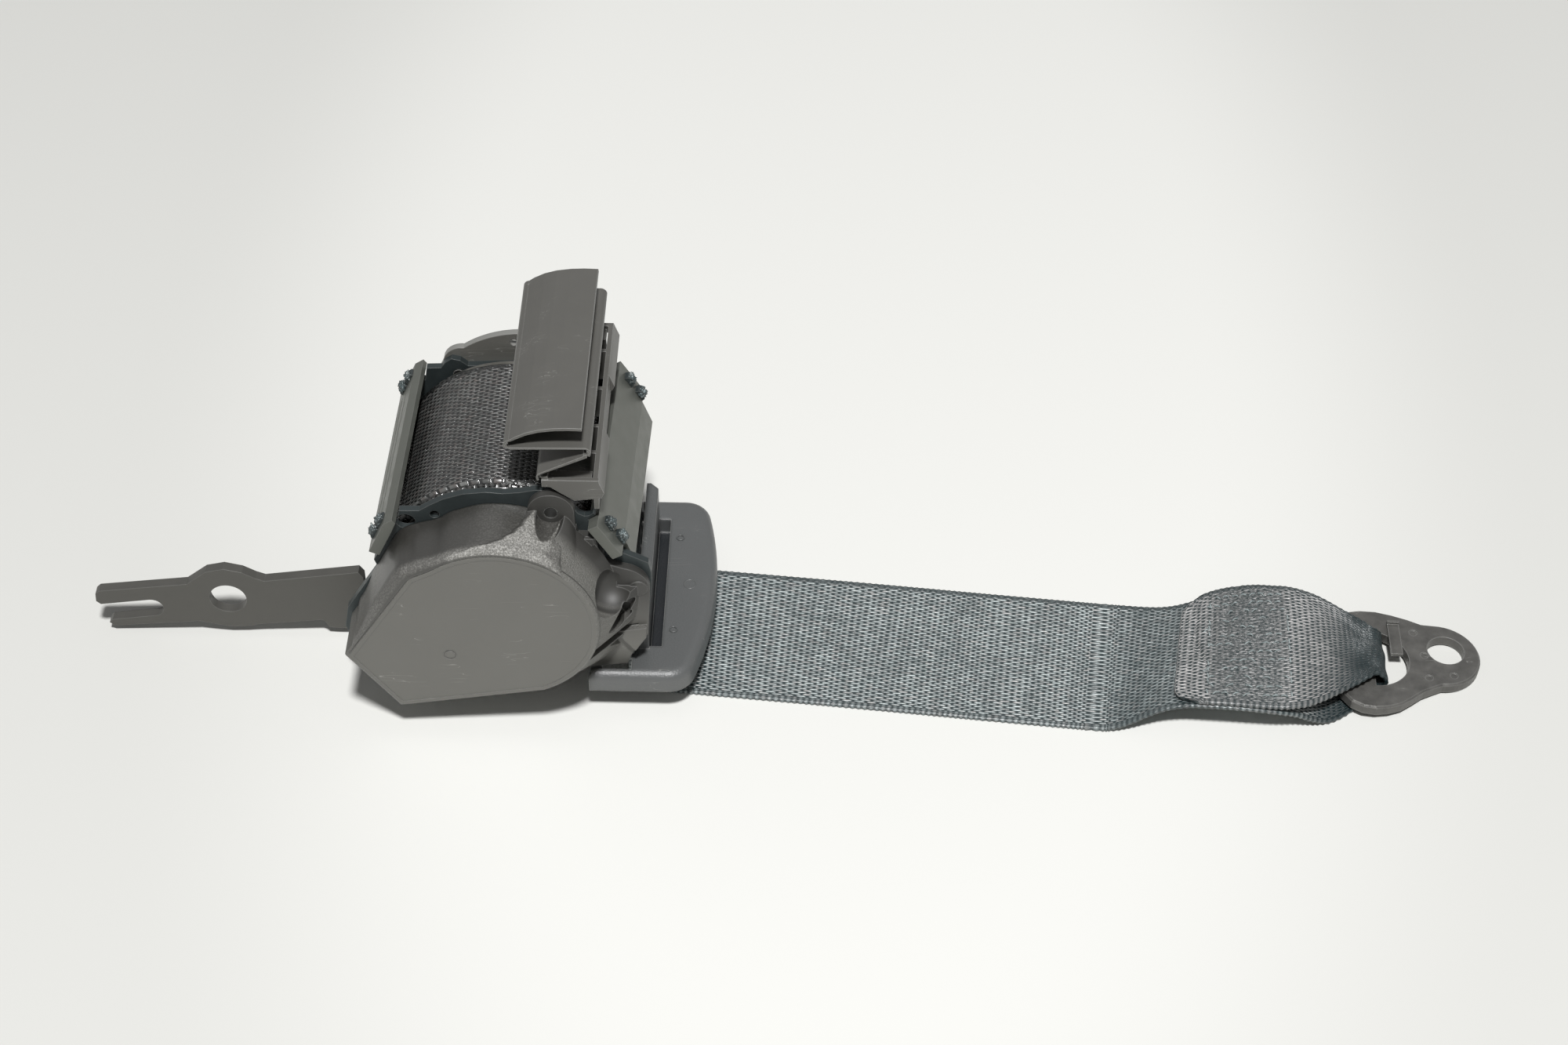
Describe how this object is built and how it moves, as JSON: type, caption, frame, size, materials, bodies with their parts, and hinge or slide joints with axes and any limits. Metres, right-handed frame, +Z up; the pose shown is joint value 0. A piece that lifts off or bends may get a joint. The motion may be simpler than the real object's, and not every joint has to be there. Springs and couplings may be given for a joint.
{
  "type": "retractor seat belt",
  "caption": "Retractor seat belt: steel-framed spool with webbing, spring and locking covers, folding web guide, slotted bezel, stitched loop and bolt-eye end fitting.",
  "frame": {"origin": "on the table, straight below the spool axis, at the middle of the webbing roll", "axes": "+X along the webbing away from the retractor, +Y along the spool axis from the spring cover to the locking side, +Z up"},
  "size_m": [0.3911, 0.091, 0.1027],
  "materials": {
    "dark_plastic": "satin moulded",
    "coated_steel": "dark phosphated",
    "bright_steel": "bright",
    "spring_steel": "blued strip",
    "webbing": "woven polyester"
  },
  "bodies": {
    "retractor": {"front_side_plate": "coated_steel", "rear_side_plate": "coated_steel", "left_tie_plate": "coated_steel", "right_tie_plate": "coated_steel", "base_tie_plate": "coated_steel", "mounting_strap": "coated_steel", "strap_rivet_outer": "bright_steel", "strap_rivet_inner": "bright_steel", "spring_cover": "dark_plastic", "cover_screw": "bright_steel", "cover_pin_right": "bright_steel", "cover_pin_left": "dark_plastic", "spring_cassette": "dark_plastic", "power_spring": "spring_steel", "front_bush": "dark_plastic", "rear_bush": "dark_plastic", "pawl_pin": "bright_steel", "sensor_housing": "dark_plastic", "sensor_ball": "bright_steel", "lever_pin": "bright_steel", "rear_cover": "dark_plastic", "rear_cover_pin_left": "dark_plastic", "rear_cover_pin_right": "dark_plastic", "rear_cover_pin_top": "dark_plastic", "web_guide_box": "dark_plastic", "bezel": "dark_plastic", "free_webbing": "webbing", "lock_stitching": "webbing"},
    "spool": {"spool": "bright_steel", "spool_shaft": "bright_steel", "spring_arbor": "dark_plastic", "wound_webbing": "webbing", "ratchet_wheel": "bright_steel"},
    "pawl": {"lock_pawl": "bright_steel"},
    "lever": {"sensor_lever": "dark_plastic"},
    "lower_leaf": {"guide_lower_leaf": "dark_plastic"},
    "middle_leaf": {"guide_middle_leaf": "dark_plastic"},
    "flap": {"guide_flap": "dark_plastic"},
    "fitting": {"end_fitting": "coated_steel", "ring_keeper": "dark_plastic"}
  },
  "joints": [
    {"name": "spool_turn", "type": "hinge", "parent": "retractor", "child": "spool", "pos_m": [0, 0, 0.0433], "axis": [0, 1, 0], "continuous": true},
    {"name": "pawl_turn", "type": "hinge", "parent": "retractor", "child": "pawl", "pos_m": [-0.025, 0.033, 0.031], "axis": [0, 1, 0], "range_deg": [0, 5]},
    {"name": "lever_turn", "type": "hinge", "parent": "retractor", "child": "lever", "pos_m": [0.01, 0.0398, 0.0258], "axis": [0, 1, 0], "range_deg": [0, 8]},
    {"name": "lower_leaf_fold", "type": "hinge", "parent": "retractor", "child": "lower_leaf", "pos_m": [0.0132, 0.001, 0.085], "axis": [0, -1, 0], "range_deg": [-16, 8]},
    {"name": "middle_leaf_fold", "type": "hinge", "parent": "lower_leaf", "child": "middle_leaf", "pos_m": [0.0243, 0.001, 0.094], "axis": [0, 1, 0], "range_deg": [0, 14]},
    {"name": "flap_fold", "type": "hinge", "parent": "middle_leaf", "child": "flap", "pos_m": [0.0052, 0.001, 0.0963], "axis": [0, -1, 0], "range_deg": [-10, 45]},
    {"name": "fitting_swing", "type": "hinge", "parent": "retractor", "child": "fitting", "pos_m": [0.232, -0.0143, 0.0042], "axis": [0, -1, 0], "range_deg": [0, 6]}
  ]
}
